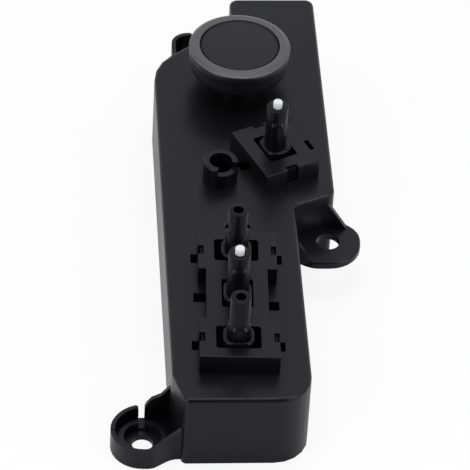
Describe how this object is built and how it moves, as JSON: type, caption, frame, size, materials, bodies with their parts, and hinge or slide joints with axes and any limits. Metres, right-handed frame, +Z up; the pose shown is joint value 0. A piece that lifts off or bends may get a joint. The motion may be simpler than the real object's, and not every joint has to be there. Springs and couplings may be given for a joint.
{
  "type": "power seat switch",
  "caption": "Long moulded switch housing with screwed ears, upright lever stalks on raised turrets, a split boss and a round tilting lumbar knob.",
  "frame": {"origin": "on the flat underside, below the axis of the round lumbar knob", "axes": "+Z up along the stalks and the knob, +Y along the housing towards its far end, +X towards the side of the flat ear"},
  "size_m": [0.0754, 0.18, 0.0478],
  "materials": {
    "housing": "fine moulded grain, black",
    "lever": "smooth moulded, black",
    "ring": "satin grey, fine circular texture",
    "disc": "matte dark grey",
    "inner": "smooth moulded, black",
    "guide": "milky white, smooth",
    "board": "dark green solder mask",
    "mat": "matte black silicone",
    "terminal": "bright drawn",
    "screw": "zinc plated"
  },
  "bodies": {
    "housing": {"upper_housing": "housing", "base_cover": "housing", "circuit_board": "board", "contact_mat": "mat", "lamp_a": "guide", "lamp_c": "guide", "carrier_a": "inner", "carrier_b": "inner", "carrier_c": "inner", "carrier_d": "inner", "knob_carrier": "inner", "connector_header": "lever", "terminal_strip": "terminal", "cover_screw_1": "screw", "cover_screw_2": "screw", "cover_screw_3": "screw", "cover_screw_4": "screw", "cover_screw_5": "screw", "cover_screw_6": "screw"},
    "lever_a": {"stalk_a": "lever", "light_guide_a": "guide"},
    "lever_b": {"stalk_b": "lever"},
    "lever_c": {"stalk_c": "lever", "light_guide_c": "guide"},
    "lever_d": {"stalk_d": "lever"},
    "gimbal": {"knob_gimbal": "inner"},
    "knob": {"knob_stem": "lever", "knob_skirt": "lever", "knob_ring": "ring", "knob_disc": "disc"}
  },
  "joints": [
    {"name": "lever_a_swing", "type": "hinge", "parent": "housing", "child": "lever_a", "pos_m": [0.0087, -0.0373, 0.02], "axis": [0.9063, 0.4226, 0], "range_deg": [-5.5, 5.5], "stiffness_Nm_per_rad": 0.05},
    {"name": "lever_b_swing", "type": "hinge", "parent": "housing", "child": "lever_b", "pos_m": [-0.00527, -0.08271, 0.02], "axis": [0.0349, 0.9994, 0], "range_deg": [-8, 8], "stiffness_Nm_per_rad": 0.05},
    {"name": "lever_c_swing", "type": "hinge", "parent": "housing", "child": "lever_c", "pos_m": [-0.0059, -0.1007, 0.02], "axis": [0.9994, -0.0349, 0], "range_deg": [-5.5, 5.5], "stiffness_Nm_per_rad": 0.05},
    {"name": "lever_d_swing", "type": "hinge", "parent": "housing", "child": "lever_d", "pos_m": [-0.00653, -0.11869, 0.02], "axis": [0.0349, 0.9994, 0], "range_deg": [-8, 8], "stiffness_Nm_per_rad": 0.05},
    {"name": "gimbal_tilt", "type": "hinge", "parent": "housing", "child": "gimbal", "pos_m": [0, 0, 0.0185], "axis": [1, 0, 0], "range_deg": [-6, 6], "stiffness_Nm_per_rad": 0.08},
    {"name": "knob_tilt", "type": "hinge", "parent": "gimbal", "child": "knob", "pos_m": [0, 0, 0.0185], "axis": [0, 1, 0], "range_deg": [-6, 6], "stiffness_Nm_per_rad": 0.08}
  ]
}
